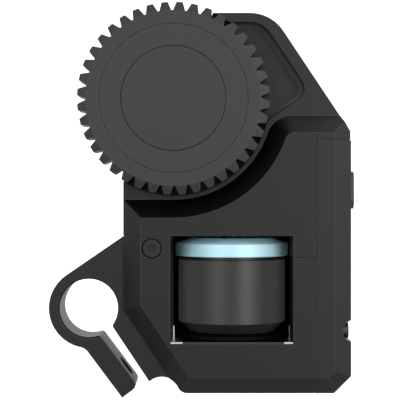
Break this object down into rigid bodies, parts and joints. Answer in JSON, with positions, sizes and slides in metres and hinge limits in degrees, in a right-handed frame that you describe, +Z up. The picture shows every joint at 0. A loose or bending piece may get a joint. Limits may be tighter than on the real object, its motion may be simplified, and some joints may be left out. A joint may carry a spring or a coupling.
{
  "type": "follow focus unit",
  "caption": "Motorised follow focus unit: toothed drive gear on a chamfered housing with a windowed drum motor and a split rod clamp.",
  "frame": {"origin": "on the axis of the rod bore, half way along the clamp", "axes": "+X to the right as seen from the drive gear's side, +Y along the rod bore to the back cover, +Z up"},
  "size_m": [0.0631, 0.0295, 0.0805],
  "materials": {
    "housing": "satin black anodised",
    "black_steel": "black oxide",
    "steel": "ground",
    "gear_plastic": "fine satin",
    "brass": "cut",
    "bronze": "sintered",
    "polished_metal": "polished",
    "black_plastic": "moulded",
    "copper": "enamelled wire",
    "bell": "turned, black anodised",
    "ring_blue": "ice blue anodised",
    "board": "solder mask"
  },
  "bodies": {
    "housing": {"lower_body": "housing", "upper_housing": "housing", "right_cover": "housing", "back_cover": "housing", "front_screw": "black_steel", "cover_screws": "black_steel", "motor_screws": "steel", "bearing_outer_rings": "steel", "layshaft_bushes": "bronze", "motor_plate": "polished_metal", "motor_base": "black_plastic", "motor_bushes": "bronze", "shaft_bush": "bronze", "stator_core": "steel", "stator_windings": "copper", "circuit_board": "board", "board_screws": "steel", "board_chips": "black_plastic", "usb_shell": "steel", "usb_tongue": "black_plastic", "button_switch": "black_plastic"},
    "drive": {"drive_gear": "gear_plastic", "gear_cap": "gear_plastic", "gear_shaft": "steel", "gear_screw": "steel", "output_wheel": "brass", "bearing_inner_rings": "steel", "bearing_balls": "steel"},
    "countershaft": {"layshaft": "steel", "layshaft_pinion": "steel", "bevel_gear": "brass"},
    "rotor": {"motor_bell": "bell", "bell_ring": "ring_blue", "bell_magnets": "steel", "motor_shaft": "steel", "bevel_pinion": "steel"},
    "button": {"power_button": "black_plastic"}
  },
  "joints": [
    {"name": "gear_spin", "type": "hinge", "parent": "housing", "child": "drive", "pos_m": [0.0175, 0, 0.0427], "axis": [0, 1, 0], "continuous": true},
    {"name": "layshaft_spin", "type": "hinge", "parent": "housing", "child": "countershaft", "pos_m": [0.0296, 0, 0.0392], "axis": [0, 1, 0], "continuous": true},
    {"name": "rotor_spin", "type": "hinge", "parent": "housing", "child": "rotor", "pos_m": [0.0296, 0.0032, 0], "axis": [0, 0, 1], "continuous": true},
    {"name": "button_press", "type": "slide", "parent": "housing", "child": "button", "axis": [-1, 0, 0], "range_m": [0, 0.0003], "stiffness_N_per_m": 1000}
  ],
  "couplings": [
    {"joint": "layshaft_spin", "follows": "gear_spin", "ratio": -1.3333},
    {"joint": "rotor_spin", "follows": "gear_spin", "ratio": -2.6667}
  ]
}
